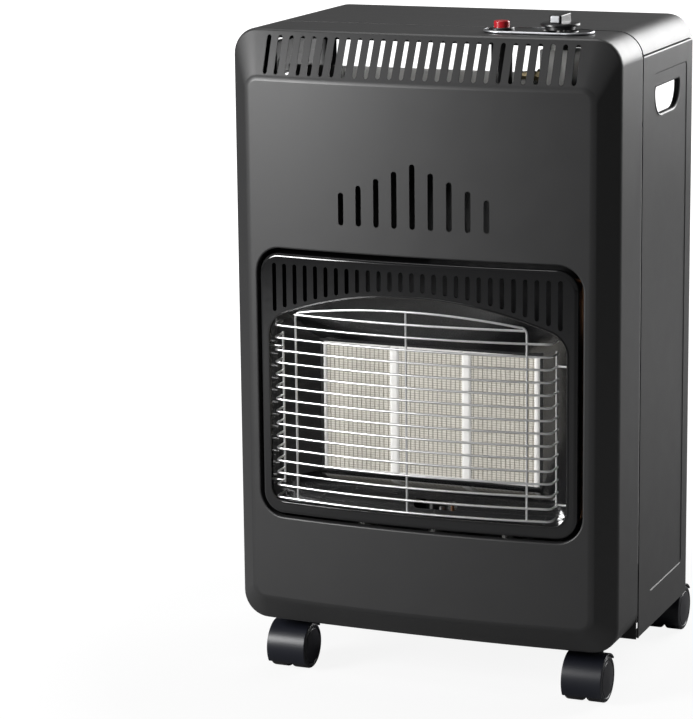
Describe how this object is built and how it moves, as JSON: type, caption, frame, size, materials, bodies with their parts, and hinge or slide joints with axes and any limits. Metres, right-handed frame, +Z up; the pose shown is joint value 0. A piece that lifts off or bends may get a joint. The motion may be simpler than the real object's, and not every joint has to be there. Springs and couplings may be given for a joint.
{
  "type": "portable gas cabinet heater",
  "caption": "Folding portable gas heater with a vented pressed steel front, wire guard, ceramic burner plaques, hinged hood and sides, and a castor base.",
  "frame": {"origin": "on the floor, under the middle of the heater's overall box", "axes": "+X to the right seen from the front, +Y from front to back, +Z up"},
  "size_m": [0.42, 0.3991, 0.7176],
  "materials": {
    "cabinet_paint": "satin dark grey stove paint",
    "chassis_paint": "matt black paint",
    "enamel": "gloss black vitreous enamel",
    "chrome_wire": "bright plated wire",
    "zinc_steel": "zinc plated",
    "brass": "machined",
    "copper": "drawn copper tube",
    "ceramic": "perforated fired ceramic",
    "fibre": "white ceramic fibre",
    "black_plastic": "moulded, lightly textured",
    "castor_wheel": "moulded nylon",
    "red_plastic": "gloss moulded"
  },
  "bodies": {
    "cabinet": {"front_shell": "cabinet_paint", "rear_chassis": "chassis_paint", "burner_surround": "enamel", "firebox_liner": "enamel", "wire_guard": "chrome_wire", "burner_housing": "zinc_steel", "plaque_gasket": "fibre", "plaque_retainer": "zinc_steel", "plaque_left": "ceramic", "plaque_centre": "ceramic", "plaque_right": "ceramic", "venturi_left": "zinc_steel", "venturi_centre": "zinc_steel", "venturi_right": "zinc_steel", "gas_manifold": "brass", "feed_pipe": "copper", "gas_valve": "brass", "inlet_nozzle": "brass", "pilot_bracket": "zinc_steel", "pilot_burner": "brass", "thermocouple": "copper", "spark_electrode": "fibre", "control_bezel": "black_plastic", "igniter_body": "black_plastic", "side_pin_left_low": "zinc_steel", "side_pin_left_high": "zinc_steel", "hood_pin_left": "zinc_steel", "tray_pin_left": "zinc_steel", "castor_stem_front_left": "zinc_steel", "side_pin_right_low": "zinc_steel", "side_pin_right_high": "zinc_steel", "hood_pin_right": "zinc_steel", "tray_pin_right": "zinc_steel", "castor_stem_front_right": "zinc_steel"},
    "valve_plunger": {"valve_spindle": "brass"},
    "knob_body": {"knob": "black_plastic"},
    "button_body": {"igniter_button": "red_plastic"},
    "hood_body": {"hood": "cabinet_paint"},
    "left_panel": {"side_panel_left": "cabinet_paint"},
    "right_panel": {"side_panel_right": "cabinet_paint"},
    "tray": {"base_tray": "chassis_paint", "castor_stem_rear_left": "zinc_steel", "castor_stem_rear_right": "zinc_steel"},
    "castor_front_left": {"castor_housing_front_left": "black_plastic", "castor_axle_front_left": "zinc_steel"},
    "wheel_front_left_a": {"wheel_front_left_a": "castor_wheel"},
    "wheel_front_left_b": {"wheel_front_left_b": "castor_wheel"},
    "castor_front_right": {"castor_housing_front_right": "black_plastic", "castor_axle_front_right": "zinc_steel"},
    "wheel_front_right_a": {"wheel_front_right_a": "castor_wheel"},
    "wheel_front_right_b": {"wheel_front_right_b": "castor_wheel"},
    "castor_rear_left": {"castor_housing_rear_left": "black_plastic", "castor_axle_rear_left": "zinc_steel"},
    "wheel_rear_left_a": {"wheel_rear_left_a": "castor_wheel"},
    "wheel_rear_left_b": {"wheel_rear_left_b": "castor_wheel"},
    "castor_rear_right": {"castor_housing_rear_right": "black_plastic", "castor_axle_rear_right": "zinc_steel"},
    "wheel_rear_right_a": {"wheel_rear_right_a": "castor_wheel"},
    "wheel_rear_right_b": {"wheel_rear_right_b": "castor_wheel"}
  },
  "joints": [
    {"name": "side_right_fold", "type": "hinge", "parent": "cabinet", "child": "right_panel", "pos_m": [0.2, -0.0654, 0.365], "axis": [0, 0, 1], "range_deg": [0, 90]},
    {"name": "side_left_fold", "type": "hinge", "parent": "cabinet", "child": "left_panel", "pos_m": [-0.2, -0.0654, 0.365], "axis": [0, 0, -1], "range_deg": [0, 90]},
    {"name": "hood_lift", "type": "hinge", "parent": "cabinet", "child": "hood_body", "pos_m": [0, -0.0684, 0.6935], "axis": [1, 0, 0], "range_deg": [0, 90]},
    {"name": "tray_fold", "type": "hinge", "parent": "cabinet", "child": "tray", "pos_m": [0, -0.0414, 0.056], "axis": [1, 0, 0], "range_deg": [0, 90]},
    {"name": "knob_push", "type": "slide", "parent": "cabinet", "child": "valve_plunger", "axis": [0, 0, -1], "range_m": [0, 0.004], "stiffness_N_per_m": 500, "springref_m": -0.006},
    {"name": "knob_turn", "type": "hinge", "parent": "valve_plunger", "child": "knob_body", "pos_m": [0.134, -0.1074, 0.706], "axis": [0, 0, 1], "range_deg": [0, 240]},
    {"name": "igniter_push", "type": "slide", "parent": "cabinet", "child": "button_body", "axis": [0, 0, -1], "range_m": [0, 0.005], "stiffness_N_per_m": 800, "springref_m": -0.004},
    {"name": "swivel_front_left", "type": "hinge", "parent": "cabinet", "child": "castor_front_left", "pos_m": [-0.167, -0.0864, 0.05], "axis": [0, 0, 1], "continuous": true},
    {"name": "spin_front_left_a", "type": "hinge", "parent": "castor_front_left", "child": "wheel_front_left_a", "pos_m": [-0.167, -0.1054, 0.0247], "axis": [1, 0, 0], "continuous": true},
    {"name": "spin_front_left_b", "type": "hinge", "parent": "castor_front_left", "child": "wheel_front_left_b", "pos_m": [-0.167, -0.1054, 0.0247], "axis": [1, 0, 0], "continuous": true},
    {"name": "swivel_front_right", "type": "hinge", "parent": "cabinet", "child": "castor_front_right", "pos_m": [0.167, -0.0864, 0.05], "axis": [0, 0, 1], "continuous": true},
    {"name": "spin_front_right_a", "type": "hinge", "parent": "castor_front_right", "child": "wheel_front_right_a", "pos_m": [0.167, -0.1054, 0.0247], "axis": [1, 0, 0], "continuous": true},
    {"name": "spin_front_right_b", "type": "hinge", "parent": "castor_front_right", "child": "wheel_front_right_b", "pos_m": [0.167, -0.1054, 0.0247], "axis": [1, 0, 0], "continuous": true},
    {"name": "swivel_rear_left", "type": "hinge", "parent": "tray", "child": "castor_rear_left", "pos_m": [-0.172, 0.1856, 0.05], "axis": [0, 0, 1], "continuous": true},
    {"name": "spin_rear_left_a", "type": "hinge", "parent": "castor_rear_left", "child": "wheel_rear_left_a", "pos_m": [-0.172, 0.1666, 0.0247], "axis": [1, 0, 0], "continuous": true},
    {"name": "spin_rear_left_b", "type": "hinge", "parent": "castor_rear_left", "child": "wheel_rear_left_b", "pos_m": [-0.172, 0.1666, 0.0247], "axis": [1, 0, 0], "continuous": true},
    {"name": "swivel_rear_right", "type": "hinge", "parent": "tray", "child": "castor_rear_right", "pos_m": [0.172, 0.1856, 0.05], "axis": [0, 0, 1], "continuous": true},
    {"name": "spin_rear_right_a", "type": "hinge", "parent": "castor_rear_right", "child": "wheel_rear_right_a", "pos_m": [0.172, 0.1666, 0.0247], "axis": [1, 0, 0], "continuous": true},
    {"name": "spin_rear_right_b", "type": "hinge", "parent": "castor_rear_right", "child": "wheel_rear_right_b", "pos_m": [0.172, 0.1666, 0.0247], "axis": [1, 0, 0], "continuous": true}
  ]
}
